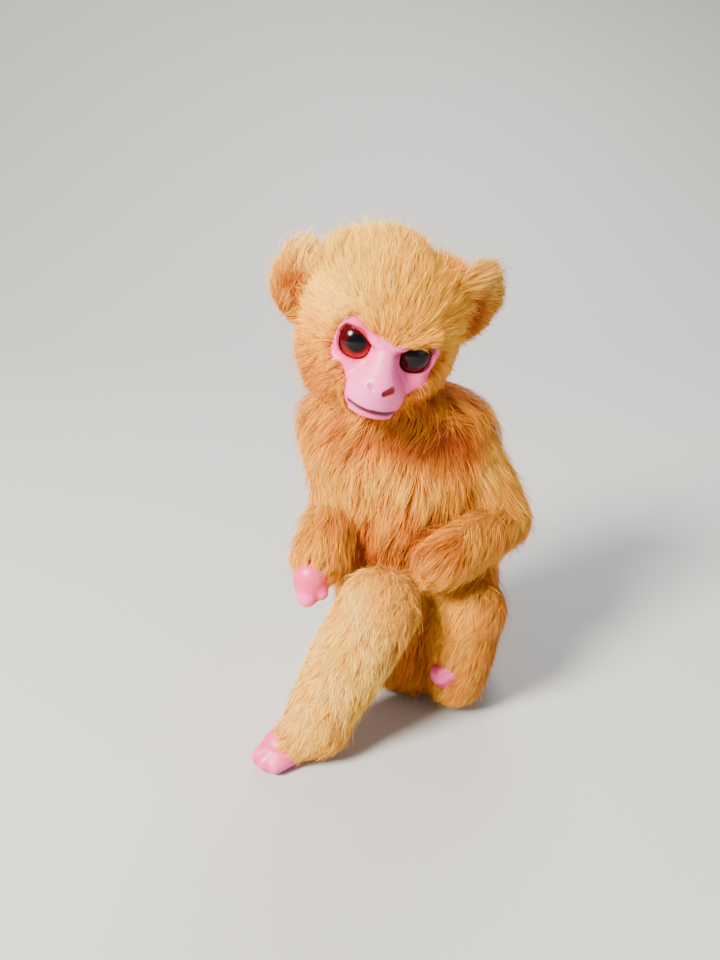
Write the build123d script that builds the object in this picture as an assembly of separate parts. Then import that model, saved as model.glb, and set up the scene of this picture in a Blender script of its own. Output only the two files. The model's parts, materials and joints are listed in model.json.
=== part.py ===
from build123d import *
import os
from math import cos, radians, sin

# Seated, long-haired monkey figurine, 121 mm tall over its fur. Millimetres.
# Origin: on the floor under the seat. +Z up, -Y is the way the monkey faces, -X is its right.

# ---- driving dimensions -------------------------------------------------------------------
GAP = 0.35            # air between pieces of two different moving bodies
RUN = 0.06            # radial clearance of a pin or stem turning in its bore
WALL = 1.6            # moulded shell wall
PELT = 2.6            # backed fur on the body, pressed flat
FAR = 300.0           # longer than anything in the figure

SEAT = (3.0, 12.0, 0.0)         # foot of the body's axis
LEAN_FORWARD = 9.0              # degrees
LEAN_SIDE = -5.0
BODY_PROFILE = ((-5, 11.0), (4, 14.2), (14, 16.2), (28, 17.0), (42, 16.6), (54, 15.2), (64, 13.4), (73, 9.2))
BASE_THICK = 1.5
NECK_BALL_Z = 84.0              # up the body's axis
NECK_BALL_R = 6.0
NECK_STEM_R = 4.0
PIN_R = 1.0
FLANGE = 1.0

HEAD_CENTRE = (-7.0, -4.0, 100.0)
HEAD_TURN, HEAD_NOD, HEAD_ROLL = 4.0, 1.0, 15.6
HEAD_R, HEAD_H = 18.6, 21.0     # fur, half width and half height
SKULL_R, SKULL_H = 15.6, 18.0
FACE_R, FACE_H, FACE_Z = 12.0, 13.6, -6.0
EYE_X, EYE_Z, EYE_R = 6.2, -1.9, 4.0
EYE_Y = -12.2
EYE_OUT = 6.0                   # degrees that each eye looks outwards
IRIS_AT, IRIS_THICK = 0.9, 0.5  # front of the iris disc ahead of the eye's centre
PUPIL_R, PUPIL_THICK = 2.0, 0.3
MUZZLE = (0, -15.0, -11.5)
MUZZLE_R = 6.6
MASK_PROUD = 1.5                # mask's face ahead of the skull
MASK_BACK = -5.0                # where the mask ends, front to back
BRIDGE_TOP, BRIDGE_R = (0, -14.4, 1.0), 3.0
NOSTRIL_OUT, NOSTRIL_OUT_R = (2.1, -25.0, -9.0), 0.9
NOSTRIL_IN, NOSTRIL_IN_R = (1.5, -19.0, -9.6), 0.6
MOUTH_Z, MOUTH_GAP = -14.2, 0.5
MOUTH_DEPTH = 1.0
MOUTH_BACK = -16.5              # where the slit of the mouth ends, front to back

EARS = {"right": dict(at=(-21.0, 3.6, 3.4), spread=-48, lean=-4),
        "left": dict(at=(17.8, -1.0, 10.4), spread=38, lean=18)}
EAR_R, EAR_CORE_R = 8.4, 6.4
EAR_THICK, EAR_CORE_THICK = 4.6, 1.2

CUP_R = 8.2                     # skull's socket round the neck ball
CUP_DROP = 1.6                  # how far the socket reaches below the ball's centre
NOD_MAX = 12.0                  # degrees, each way
NECK_PELT_R = 7.6
NECK_ROOM = 1.6                 # space round the neck under the skull
FIT = 0.05                      # clearance of a glued piece in its seat

CORE_REACH = 0.78               # share of forearm and shin that the core fills
ELBOW_LEVEL = 45.0              # only an elbow is higher than this

STEM_R = 2.2
STEM_FLANGE_R = 3.0


def vec(p):
    return Vector(*p)


def along(start, end):
    """Plane at start whose Z runs to end."""
    return Plane(origin=start, z_dir=vec(end) - vec(start))


def frustum(start, end, r_start, r_end):
    height = (vec(end) - vec(start)).length
    bottom = (Align.CENTER, Align.CENTER, Align.MIN)
    if abs(r_start - r_end) < 1e-6:
        return along(start, end) * Cylinder(r_start, height, align=bottom)
    return along(start, end) * Cone(r_start, r_end, height, align=bottom)


def rod(centre, axis, radius, low, high):
    """Cylinder about an axis through centre, from low to high along it."""
    a = vec(axis).normalized()
    return frustum(vec(centre) + a * low, vec(centre) + a * high, radius, radius)


def ball(centre, radius):
    return Pos(*vec(centre)) * Sphere(radius)


def beyond(point, normal):
    """Everything on the far side of a plane, to cut away with."""
    plane = Plane(origin=point, z_dir=normal)
    return plane * Box(FAR, FAR, FAR, align=(Align.CENTER, Align.CENTER, Align.MIN))


def spun(profile, inset):
    """Solid of revolution about Z from (height, radius) pairs, set in by inset."""
    points = [(max(r - inset, 0.5), z) for z, r in profile]
    low, high = points[0], points[-1]
    outline = Polyline((0, high[1]), (0, low[1]), low) + Spline(*points) + Line(high, (0, high[1]))
    return revolve(Plane.XZ * make_face(outline), Axis.Z)


def egg(radius, half_height):
    """Ellipsoid of revolution about Z."""
    half = Ellipse(radius, half_height) & Pos(FAR / 2, 0) * Rectangle(FAR, FAR)
    return revolve(Plane.XZ * half, Axis.Z)


def floor_cut(solid, height=0.0):
    return solid - beyond((0, 0, height), (0, 0, -1))


# ---- frames -------------------------------------------------------------------------------
BODY = Pos(*SEAT) * Rot(X=LEAN_FORWARD) * Rot(Y=LEAN_SIDE)
HEAD = Pos(*HEAD_CENTRE) * Rot(Z=HEAD_TURN) * Rot(X=HEAD_NOD) * Rot(Y=HEAD_ROLL)


def on_body(height):
    return (BODY * Pos(0, 0, height)).position


BODY_AXIS = (on_body(1) - on_body(0)).normalized()
NECK_BALL = on_body(NECK_BALL_Z)
NOD_AXIS = Vector(cos(radians(HEAD_TURN)), sin(radians(HEAD_TURN)), 0)

# ---- limbs: joint centres, fur radii, core radii --------------------------------------------
# side: -1 right, +1 left. root: shoulder or hip, mid: elbow or knee, end: wrist or ankle.
# swing: how far the limb goes (up, down) about X at its root; bend: (closing, opening) at mid.
LIMBS = {
    "right_arm": dict(
        side=-1, root=(-18.0, 0.0, 65.0), mid=(-18.8, -3.5, 53.5), end=(-22.2, -13.5, 44.5),
        fur=(6.2, 5.0, 6.6), core=(3.4, 3.2, 3.0), inner=-10.4, swing=(30, 4), bend=(20, 15), hinge=3.4),
    "left_arm": dict(
        side=1, root=(14.8, 0.5, 65.0), mid=(24.6, 1.0, 48.5), end=(11.5, -17.2, 48.0),
        fur=(6.4, 6.2, 4.8), core=(3.4, 3.2, 3.0), inner=6.0, swing=(25, 2), bend=(6, 15), hinge=3.4),
    "right_leg": dict(
        side=-1, root=(-8.0, 8.0, 17.5), mid=(-6.6, -23.0, 37.0), end=(-22.5, -29.5, 9.0),
        fur=(8.0, 8.8, 7.0), core=(5.0, 4.6, 3.9), inner=2.6, swing=(5, 10), bend=(12, 25), hinge=4.6),
    "left_leg": dict(
        side=1, root=(17.6, 9.5, 18.0), mid=(17.0, -13.5, 30.5), end=(12.5, -11.6, 8.0),
        fur=(7.8, 7.4, 6.8), core=(5.0, 4.6, 3.9), inner=9.4, swing=(3, 12), bend=(3, 25), hinge=4.6),
}
TERMS = {"arm": ("shoulder", "upper_arm", "elbow", "forearm", "hand"),
         "leg": ("hip", "thigh", "knee", "shin", "foot")}


def turn_x(vector, degrees):
    return vec(vector).rotate(Axis.X, degrees)


def swept_sector(centre, ahead, angles, width, reach, limb, grow):
    """A bar of half-width width and length reach, swung about X at centre, cut outside the inner plane."""
    up, down = angles
    ahead = Vector(0, ahead.Y, ahead.Z).normalized()
    high, low = turn_x(ahead, -up), turn_x(ahead, down)
    high_side, low_side = turn_x(high, -90) * width, turn_x(low, 90) * width
    corners = [high_side, high_side + high * reach, low_side + low * reach, low_side]
    outline = Polyline(*[centre + c for c in corners], centre, close=True)
    inner = limb["inner"] - limb["side"] * grow
    shift = Pos(inner - centre.X, 0, 0)
    sector = shift * extrude(make_face(outline), amount=FAR, dir=(limb["side"], 0, 0))
    return sector + rod((inner, centre.Y, centre.Z), (limb["side"], 0, 0), width, 0, FAR)


def swept_bay(limb, grow):
    """The room a limb sweeps beside and in front of the body, widened by grow."""
    root, mid, end = vec(limb["root"]), vec(limb["mid"]), vec(limb["end"])
    fur_root, fur_mid, fur_end = limb["fur"]
    upper_width = max(fur_root, fur_mid) + grow
    upper = swept_sector(root, mid - root, limb["swing"], upper_width, (mid - root).length, limb, grow)
    lower_width = max(fur_mid, fur_end) + grow
    closing, opening = limb["bend"]
    angles = (limb["swing"][0] + closing, limb["swing"][1] + opening)
    if limb["mid"][2] < ELBOW_LEVEL:
        return upper
    return upper + swept_sector(mid, end - mid, angles, lower_width, (end - mid).length, limb, grow)


def joint_axis(limb):
    """Hinge axis at the elbow or knee, across the plane of the two bones."""
    to_root = vec(limb["root"]) - vec(limb["mid"])
    to_end = vec(limb["end"]) - vec(limb["mid"])
    return to_end.cross(to_root).normalized()


def trim_mid(solid, limb, own, other):
    """Keep a segment inside its own angle about the hinge, so that the two never meet."""
    mid = vec(limb["mid"])
    p = (vec(limb[own]) - mid).normalized()
    d = (vec(limb[other]) - mid).normalized()
    half = (p.get_angle(d) - limb["bend"][0]) / 2
    half = min(half, 90.0)
    e = (d - p * d.dot(p)).normalized()
    normal = p * -sin(radians(half)) + e * cos(radians(half))
    solid -= beyond(mid - normal * GAP, normal)
    return solid - beyond(mid + p * GAP, -p)


def hinge_parts(limb):
    """Fork cheeks, tongue and pin at the elbow or knee, and the room that they turn in."""
    mid = vec(limb["mid"])
    axis = joint_axis(limb)
    radius = limb["hinge"]
    half_tongue = radius * 0.36
    cheek = radius * 0.34
    p = (vec(limb["root"]) - mid).normalized()
    d = (vec(limb["end"]) - mid).normalized()
    half_angle = (p.get_angle(d) - limb["bend"][0]) / 2
    strap = min(1.5 * radius, 2 * (radius + GAP) * sin(radians(half_angle)) * 0.85)

    def strap_to(direction, low, high):
        plane = Plane(origin=mid + axis * (low + high) / 2, x_dir=axis, z_dir=direction)
        return plane * Box(high - low, strap, radius + 2.2, align=(Align.CENTER, Align.CENTER, Align.MIN))

    tongue = rod(mid, axis, radius, -half_tongue, half_tongue) + strap_to(d, -half_tongue, half_tongue)
    tongue -= rod(mid, axis, PIN_R + RUN, -radius, radius)
    near, far = half_tongue + 0.2, half_tongue + 0.2 + cheek
    fork = rod(mid, axis, radius, near, far) + strap_to(p, near, far)
    fork += rod(mid, axis, radius, -far, -near) + strap_to(p, -far, -near)
    fork -= rod(mid, axis, PIN_R, -2 * radius, 2 * radius)
    pin = rod(mid, axis, PIN_R, -far, far)
    clear = rod(mid, axis, radius + GAP, -far - GAP, far + GAP)
    return tongue, fork, pin, clear


def limb_parts(name, limb):
    """Stem, cores, pelts and pin of one arm or leg, without its hand or foot."""
    side_word, kind = name.split("_")
    root_word, upper, mid_word, lower, _ = TERMS[kind]
    root, mid, end = vec(limb["root"]), vec(limb["mid"]), vec(limb["end"])
    fur_root, fur_mid, fur_end = limb["fur"]
    core_root, core_mid, core_end = limb["core"]
    tongue, fork, pin, clear = hinge_parts(limb)
    x_out = (limb["side"], 0, 0)

    stem_hole = rod(root, x_out, STEM_R, -FAR, core_root * 0.55)
    flange_at = limb["inner"] - limb["side"] * (WALL + GAP + 0.25)
    stem_in = abs(root.X - flange_at)
    stem = rod(root, x_out, STEM_R, -stem_in - FLANGE, core_root * 0.55)
    stem += rod(root, x_out, STEM_FLANGE_R, -stem_in - FLANGE, -stem_in)

    upper_solid = frustum(root, mid, core_root, core_mid) + ball(root, core_root)
    upper_core = trim_mid(upper_solid, limb, "root", "end") - clear + fork
    upper_core -= stem_hole
    upper_pelt = frustum(root, mid, fur_root, fur_mid) + ball(root, fur_root)
    upper_pelt = trim_mid(upper_pelt, limb, "root", "end") - clear - upper_solid - fork - pin - stem_hole

    lower_solid = frustum(mid, mid + (end - mid) * CORE_REACH, core_mid, core_end)
    lower_core = trim_mid(lower_solid, limb, "end", "root") - clear + tongue
    lower_pelt = frustum(mid, end, fur_mid, fur_end)
    if kind == "leg":
        lower_pelt += ball(end, fur_end)
    lower_pelt = trim_mid(lower_pelt, limb, "end", "root") - clear - lower_solid - tongue
    return {
        f"{side_word}_{root_word}_stem": stem,
        f"{side_word}_{upper}_core": upper_core,
        f"{side_word}_{upper}_pelt": upper_pelt,
        f"{side_word}_{mid_word}_pin": pin,
        f"{side_word}_{lower}_core": lower_core,
        f"{side_word}_{lower}_pelt": lower_pelt,
    }


# ---- hands and feet -------------------------------------------------------------------------
HANDS = {"right": dict(tip=(-24.4, -19.8, 40.0), thumb=(-21.2, -18.6, 40.2)),
         "left": dict(tip=(5.2, -21.0, 46.4), thumb=(6.8, -18.6, 44.8))}
HAND_R, TIP_R, THUMB_R = 3.6, 2.7, 1.7
FEET = {"right": dict(heel=(-24.0, -30.2, 5.0), tip=(-33.8, -33.6, 3.2)),
        "left": dict(heel=(12.0, -12.0, 7.0), tip=(9.2, -16.6, 12.6))}
HEEL_R, TOE_R = 4.6, 3.5
SHANK_R, SHANK_REACH = 1.8, 0.55


def shank(limb):
    """Peg of a hand or foot, pressed up into the core above it."""
    mid, end = vec(limb["mid"]), vec(limb["end"])
    return frustum(end, mid + (end - mid) * SHANK_REACH, SHANK_R, SHANK_R)


def hand(side):
    wrist = vec(LIMBS[f"{side}_arm"]["end"])
    tip, thumb = vec(HANDS[side]["tip"]), vec(HANDS[side]["thumb"])
    solid = ball(wrist, HAND_R) + frustum(wrist, tip, HAND_R, TIP_R) + ball(tip, TIP_R)
    solid += frustum(wrist, thumb, HAND_R * 0.7, THUMB_R) + ball(thumb, THUMB_R)
    return solid + shank(LIMBS[f"{side}_arm"])


def foot(side):
    heel, tip = vec(FEET[side]["heel"]), vec(FEET[side]["tip"])
    solid = ball(heel, HEEL_R) + frustum(heel, tip, HEEL_R, TOE_R) + ball(tip, TOE_R)
    return floor_cut(solid + shank(LIMBS[f"{side}_leg"]))


def all_limbs():
    parts = {}
    for name, limb in LIMBS.items():
        made = limb_parts(name, limb)
        side, kind = name.split("_")
        lower = TERMS[kind][3]
        last = hand(side) if kind == "arm" else foot(side)
        core, pelt = f"{side}_{lower}_core", f"{side}_{lower}_pelt"
        made[core] = floor_cut(made[core] - last)
        made[pelt] = floor_cut(made[pelt] - last, 0.05)
        made[f"{side}_{TERMS[kind][4]}"] = last
        parts.update(made)
    return parts


# ---- body -----------------------------------------------------------------------------------
def body_parts():
    outer = BODY * spun(BODY_PROFILE, 0)
    shell = BODY * spun(BODY_PROFILE, PELT)
    hollow_profile = [(z - (WALL if z > 70 else 0), r) for z, r in BODY_PROFILE]
    hollow = BODY * spun(hollow_profile, PELT + WALL)
    for limb in LIMBS.values():
        bay = swept_bay(limb, GAP)
        outer -= bay
        shell -= bay
        hollow -= swept_bay(limb, GAP + WALL)
    outer, shell = floor_cut(outer), floor_cut(shell, BASE_THICK)
    base = outer - beyond((0, 0, BASE_THICK), (0, 0, 1))
    pelt = outer - base - shell
    shell -= floor_cut(hollow, BASE_THICK + WALL)
    for limb in LIMBS.values():
        bore = rod((limb["inner"], limb["root"][1], limb["root"][2]), (-limb["side"], 0, 0),
                   STEM_R + RUN, -FAR / 10, WALL + GAP + 0.5)
        shell -= bore
        pelt -= bore
    neck_bore = rod(on_body(NECK_BALL_Z), BODY_AXIS, NECK_STEM_R + RUN, -20, 0)
    shell -= neck_bore
    pelt -= neck_bore
    seam_front = (SEAT[0], SEAT[1] - 1.0, 0)
    return {
        "body_shell_front": shell - beyond(seam_front, (0, 1, 0)),
        "body_shell_back": shell - beyond(seam_front, (0, -1, 0)),
        "seat_plate": base,
        "body_pelt_front": pelt - beyond(seam_front, (0, 1, 0)),
        "body_pelt_back": pelt - beyond(seam_front, (0, -1, 0)),
    }


# ---- neck and head --------------------------------------------------------------------------
def neck_parts():
    stem_foot = -(NECK_BALL_Z - BODY_PROFILE[-1][0]) - WALL - 0.25
    post = ball(NECK_BALL, NECK_BALL_R) + rod(NECK_BALL, BODY_AXIS, NECK_STEM_R, stem_foot, -3)
    post += rod(NECK_BALL, BODY_AXIS, NECK_STEM_R + 1.0, stem_foot - FLANGE, stem_foot)
    post -= rod(NECK_BALL, NOD_AXIS, PIN_R + RUN, -FAR / 2, FAR / 2)
    drop = CUP_DROP + CUP_R * sin(radians(NOD_MAX)) + GAP
    body_top = NECK_BALL_Z - BODY_PROFILE[-1][0] - GAP
    pelt = rod(NECK_BALL, BODY_AXIS, NECK_PELT_R, -body_top, -drop) - post
    pin = rod(NECK_BALL, NOD_AXIS, PIN_R, -CUP_R + 0.3, CUP_R - 0.3)
    return {"neck_post": post, "neck_pelt": pelt, "nod_pin": pin}


def in_head(x, y, z):
    return (HEAD * Pos(x, y, z)).position


def eye_parts(side_word, side):
    """Clear dome over a pupil and an iris disc, on a dark rounded back."""
    centre = in_head(side * EYE_X, EYE_Y, EYE_Z)
    aside = side * sin(radians(EYE_OUT))
    look = (in_head(side * EYE_X + aside, EYE_Y - cos(radians(EYE_OUT)), EYE_Z) - centre).normalized()
    eyeball = Plane(origin=centre, z_dir=look) * Sphere(EYE_R)
    pupil = rod(centre, look, PUPIL_R, IRIS_AT, IRIS_AT + PUPIL_THICK)
    dome = eyeball - beyond(centre + look * IRIS_AT, -look) - pupil
    iris = eyeball & rod(centre, look, EYE_R, IRIS_AT - IRIS_THICK, IRIS_AT)
    back = eyeball - beyond(centre + look * (IRIS_AT - IRIS_THICK), look)
    made = {"dome": dome, "pupil": pupil, "iris": iris, "back": back}
    socket = rod(centre, look, EYE_R + FIT, -2 * EYE_R, 4 * EYE_R)
    return {f"{side_word}_eye_{name}": solid for name, solid in made.items()}, socket


def ear_parts(side_word, head_fur, skull):
    ear = EARS[side_word]
    place = HEAD * Pos(*ear["at"]) * Rot(Z=ear["spread"]) * Rot(Y=ear["lean"]) * Rot(X=90)
    core = place * Cylinder(EAR_CORE_R, EAR_CORE_THICK) - skull
    body = Cylinder(EAR_R, EAR_THICK)
    body = place * fillet(body.edges().filter_by(GeomType.CIRCLE), EAR_THICK * 0.42)
    pelt = body - core - head_fur
    return {f"{side_word}_ear_core": core, f"{side_word}_ear_pelt": pelt}


def face_mask(window):
    """Mask over the front of the skull, with its bridge and muzzle, pierced for the nostrils and mouth."""
    mask = HEAD * egg(SKULL_R + MASK_PROUD, SKULL_H + MASK_PROUD) & window
    mask += HEAD * Pos(*MUZZLE) * Sphere(MUZZLE_R)
    mask += HEAD * frustum(BRIDGE_TOP, MUZZLE, BRIDGE_R, MUZZLE_R * 0.8)
    for side in (-1, 1):
        outside = (side * NOSTRIL_OUT[0], *NOSTRIL_OUT[1:])
        inside = (side * NOSTRIL_IN[0], *NOSTRIL_IN[1:])
        mask -= HEAD * frustum(outside, inside, NOSTRIL_OUT_R, NOSTRIL_IN_R)
    mouth = HEAD * Pos(MUZZLE[0], MUZZLE[1], MOUTH_Z) * Cylinder(FAR / 4, MOUTH_GAP)
    mouth -= HEAD * Pos(*MUZZLE) * Sphere(MUZZLE_R - MOUTH_DEPTH)
    mouth &= HEAD * Pos(0, -FAR / 2 + MOUTH_BACK, 0) * Box(FAR, FAR, FAR)
    return mask - mouth


def head_parts():
    fur = HEAD * egg(HEAD_R, HEAD_H)
    skull = HEAD * egg(SKULL_R, SKULL_H)
    cavity = HEAD * egg(SKULL_R - WALL, SKULL_H - WALL)
    face_oval = extrude(Ellipse(FACE_R, FACE_H), amount=FAR / 2)
    window = HEAD * Pos(0, MASK_BACK, FACE_Z) * Rot(X=90) * face_oval
    neck_room = rod(NECK_BALL, BODY_AXIS, NECK_PELT_R + NECK_ROOM, -20, 0)
    cup = ball(NECK_BALL, CUP_R) - beyond(NECK_BALL - BODY_AXIS * CUP_DROP, -BODY_AXIS)
    cup_hole = ball(NECK_BALL, NECK_BALL_R + GAP)
    pin_hole = rod(NECK_BALL, NOD_AXIS, PIN_R, -CUP_R + 0.3, CUP_R - 0.3)

    parts = {}
    sockets = []
    for side_word, side in (("right", -1), ("left", 1)):
        made, socket = eye_parts(side_word, side)
        parts.update(made)
        sockets.append(socket)

    mask = face_mask(window) - skull - ball(NECK_BALL, CUP_R + GAP) - neck_room
    pelt = fur - skull - mask - window - neck_room - cup - cup_hole
    shell = skull - cavity - neck_room + cup - cup_hole - pin_hole
    for socket in sockets:
        mask -= socket
        pelt -= socket
    for side_word in ("right", "left"):
        made = ear_parts(side_word, HEAD * egg(HEAD_R + 0.1, HEAD_H + 0.1), skull)
        pelt -= made[f"{side_word}_ear_core"]
        parts.update(made)
    seam = in_head(0, 1.0, 0)
    back_way = (seam - in_head(0, 0, 0)).normalized()
    parts["skull_front"] = shell - beyond(seam, back_way) - sockets[0] - sockets[1]
    parts["skull_back"] = shell - beyond(seam, -back_way)
    parts["head_pelt_front"] = pelt - beyond(seam, back_way)
    parts["head_pelt_back"] = pelt - beyond(seam, -back_way)
    parts["face_mask"] = mask
    return parts


def build():
    parts = body_parts()
    parts.update(all_limbs())
    parts.update(neck_parts())
    parts.update(head_parts())
    return parts


if __name__ == "__main__":
    os.makedirs("parts", exist_ok=True)
    for node, solid in build().items():
        export_step(solid, f"parts/{node}.step")
        print(node, round(solid.volume, 1), len(solid.solids()))
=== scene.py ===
"""Looks of the seated, long-haired monkey figurine: combed fur, painted pink face, hands and feet."""
import json
import math

import bmesh
import bpy
import numpy as np
from mathutils import Matrix, Vector
from mathutils.kdtree import KDTree


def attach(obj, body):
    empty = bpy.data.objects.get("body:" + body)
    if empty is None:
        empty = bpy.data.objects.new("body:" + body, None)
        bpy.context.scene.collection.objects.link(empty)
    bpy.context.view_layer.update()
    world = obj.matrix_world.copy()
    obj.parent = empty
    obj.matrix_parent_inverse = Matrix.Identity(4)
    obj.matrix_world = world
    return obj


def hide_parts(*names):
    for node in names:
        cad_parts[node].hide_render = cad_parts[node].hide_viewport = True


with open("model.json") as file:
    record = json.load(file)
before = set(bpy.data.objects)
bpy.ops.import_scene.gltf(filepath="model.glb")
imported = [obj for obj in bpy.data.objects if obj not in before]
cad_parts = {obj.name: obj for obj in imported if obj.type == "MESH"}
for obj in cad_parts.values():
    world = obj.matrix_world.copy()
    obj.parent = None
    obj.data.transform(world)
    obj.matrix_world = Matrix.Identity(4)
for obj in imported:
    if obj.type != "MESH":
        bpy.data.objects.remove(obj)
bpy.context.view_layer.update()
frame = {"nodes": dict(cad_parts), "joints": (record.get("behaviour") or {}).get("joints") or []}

MM = 0.001  # shapes are worked out in millimetres and made in metres
JOINT_AT = {joint["name"]: np.array(joint["pos_m"]) / MM for joint in frame["joints"]}
UP = np.array([0.0, 0.0, 1.0])


# ---- small helpers ---------------------------------------
def unit(v):
    return v / np.maximum(np.linalg.norm(v, axis=-1, keepdims=True), 1e-12)


def dot(a, b):
    return np.sum(a * b, axis=-1, keepdims=True)


def ease(low, high, x):
    t = np.clip((x - low) / (high - low), 0, 1)
    return t * t * (3 - 2 * t)


def blob(p, centre, size):
    """Soft bump of 1 at centre that fades over size, for points p."""
    d = (p - np.array(centre)) / np.array(size)
    return np.exp(-np.sum(d * d, axis=-1))


def at_joint(joint, x=0.0, y=0.0, z=0.0):
    """A joint's centre in the frame, shifted by x, y and z."""
    return JOINT_AT[joint] + [x, y, z]


def srgb(r, g, b):
    """Linear colour from the 0 to 255 values that a colour picker shows."""
    c = np.array([r, g, b], float) / 255
    return np.where(c <= 0.04045, c / 12.92, ((c + 0.055) / 1.055) ** 2.4)


def mix(a, b, t):
    t = np.asarray(t)
    if t.ndim == 1:
        t = t[:, None]
    return a * (1 - t) + b * t


def streaks(p, scale, seed, squeeze=1.0):
    """Waves from 0 to 1, drawn out upwards if squeeze is under 1."""
    return 0.5 + 0.5 * waves(p * [1, 1, squeeze], scale, seed)


def drift(p, scales, seed):
    """A vector at each point that wanders smoothly: one wave field for each axis."""
    return np.stack([waves(p, scale, seed + n) for n, scale in enumerate(scales)], 1)


def waves(p, scale, seed):
    """Smooth pseudo-random field from -1 to 1, about scale millimetres across."""
    rng = np.random.default_rng(seed)
    total = np.zeros(len(p))
    for _ in range(6):
        k = rng.normal(size=3)
        k *= rng.uniform(0.6, 1.6) * 2 * math.pi / (scale * 3) / np.linalg.norm(k)
        total += np.sin(p @ k + rng.uniform(0, 6.28))
    return total / 3.2


# ---- materials -------------------------------------------
class Material:
    """Node material with a few shorthands; every socket is named by its label."""

    def __init__(self, name, **settings):
        self.made = bpy.data.materials.new(name)
        self.made.use_nodes = True
        self.nodes, self.links = self.made.node_tree.nodes, self.made.node_tree.links
        self.shader = self.nodes["Principled BSDF"]
        self.set(self.shader, **settings)

    @staticmethod
    def set(node, **settings):
        for label, value in settings.items():
            node.inputs[label.replace("_", " ")].default_value = value

    def tint(self):
        """The colour that a mesh carries."""
        node = self.nodes.new("ShaderNodeAttribute")
        node.attribute_name = "tint"
        return node.outputs["Color"]

    def noise(self, scale, detail):
        node = self.nodes.new("ShaderNodeTexNoise")
        self.set(node, Scale=scale, Detail=detail)
        coords = self.nodes.new("ShaderNodeTexCoord")
        self.links.new(coords.outputs["Object"], node.inputs["Vector"])
        return node.outputs["Fac"]

    def spread(self, source, low, high):
        """The same variation, from low to high."""
        node = self.nodes.new("ShaderNodeMapRange")
        self.set(node, To_Min=low, To_Max=high)
        self.links.new(source, node.inputs["Value"])
        return node.outputs["Result"]

    def shaded(self, colour, level):
        """A colour made lighter and darker by level."""
        node = self.nodes.new("ShaderNodeHueSaturation")
        self.links.new(colour, node.inputs["Color"])
        self.links.new(level, node.inputs["Value"])
        return node.outputs["Color"]

    def ramp(self, source, *stops):
        node = self.nodes.new("ShaderNodeValToRGB")
        for element, (position, colour) in zip(node.color_ramp.elements, stops):
            element.position, element.color = position, (*colour, 1)
        self.links.new(source, node.inputs["Fac"])
        return node.outputs["Color"]

    def bump(self, source, strength, distance):
        node = self.nodes.new("ShaderNodeBump")
        self.set(node, Strength=strength, Distance=distance)
        self.links.new(source, node.inputs["Height"])
        self.links.new(node.outputs["Normal"], self.shader.inputs["Normal"])

    def link(self, source, label):
        self.links.new(source, self.shader.inputs[label])


def fur_material(name):
    """Hair: colour from the strand's own tint, broken up a little, with a soft sheen."""
    mat = Material(name, Roughness=0.6, Specular_IOR_Level=0.18, Sheen_Weight=0.12, Sheen_Roughness=0.4,
                   Sheen_Tint=(1.0, 0.76, 0.4, 1))
    mat.link(mat.shaded(mat.tint(), mat.spread(mat.noise(900, 2), 0.86, 1.14)), "Base Color")
    return mat.made


def skin_material(name):
    """Pink paint over moulded plastic: tint attribute, faint mottling, brush marks in the bump."""
    mat = Material(name, Coat_Weight=0.06, Coat_Roughness=0.3, Subsurface_Weight=0.12, Subsurface_Scale=1.0,
                   Subsurface_Radius=(0.0016, 0.0006, 0.0005))
    mottle = mat.noise(260, 4)
    mat.link(mat.shaded(mat.tint(), mat.spread(mottle, 0.9, 1.08)), "Base Color")
    mat.link(mat.spread(mottle, 0.34, 0.52), "Roughness")
    mat.bump(mat.noise(1500, 3), 0.12, 0.0002)
    return mat.made


def speckled_material(name, base, second, scale, rough, metallic=0.0, bump_depth=0.00005):
    """Plain moulded or drawn stock with fine colour and surface variation."""
    mat = Material(name, Metallic=metallic)
    noise = mat.noise(scale, 5)
    mat.link(mat.ramp(noise, (0.35, base), (0.7, second)), "Base Color")
    mat.link(mat.spread(noise, rough - 0.08, rough + 0.08), "Roughness")
    mat.bump(noise, 0.3, bump_depth)
    return mat.made


def eye_material(name):
    """Glossy eye: its tint carries the pupil, the amber-red ring with its painted light and painted shade,
    and the dark rim.
    """
    mat = Material(name, Roughness=0.14, Specular_IOR_Level=0.22)
    mat.link(mat.tint(), "Base Color")
    return mat.made


# ---- mesh making -----------------------------------------
def new_object(name, data):
    obj = bpy.data.objects.new(name, data)
    bpy.context.scene.collection.objects.link(obj)
    return obj


def make_mesh(name, verts, faces, tint):
    """Smooth mesh object from vertices in millimetres and an array of faces."""
    mesh = bpy.data.meshes.new(name)
    mesh.from_pydata((verts * MM).tolist(), [], faces.tolist())
    add_tint(mesh, tint)
    mesh.shade_smooth()
    return new_object(name, mesh)


def add_tint(mesh, colours):
    data = np.ones((len(mesh.vertices), 4), np.float32)
    data[:, :3] = np.clip(colours, 0, 1)
    attribute = mesh.color_attributes.new("tint", "FLOAT_COLOR", "POINT")
    attribute.data.foreach_set("color", data.ravel())


def grid_faces(rows, cols, wrap=True):
    """Quads of a rows by cols grid of vertices; each row closes on itself if wrap is true."""
    last = cols if wrap else cols - 1
    i = np.arange(rows - 1)[:, None] * cols
    j = np.arange(last)[None, :]
    k = (j + 1) % cols
    quads = np.stack([i + j, i + k, i + cols + k, i + cols + j], axis=-1)
    return quads.reshape(-1, 4)


def finish_piece(obj, material, body, slot, *nodes):
    """Give a piece its material and the body it rides on, and hide the CAD nodes it stands for. slot is not
    used.
    """
    obj.data.materials.clear()
    obj.data.materials.append(material)
    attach(obj, body)
    if nodes:
        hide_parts(*nodes)
    return obj


# ---- soft shapes that fur grows on -----------------------
def finder(points):
    """Function that gives, for other points, the number of the nearest of these."""
    tree = KDTree(len(points))
    for n, point in enumerate(points):
        tree.insert(point, n)
    tree.balance()
    return lambda others: np.array([tree.find(p)[1] for p in others])


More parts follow.
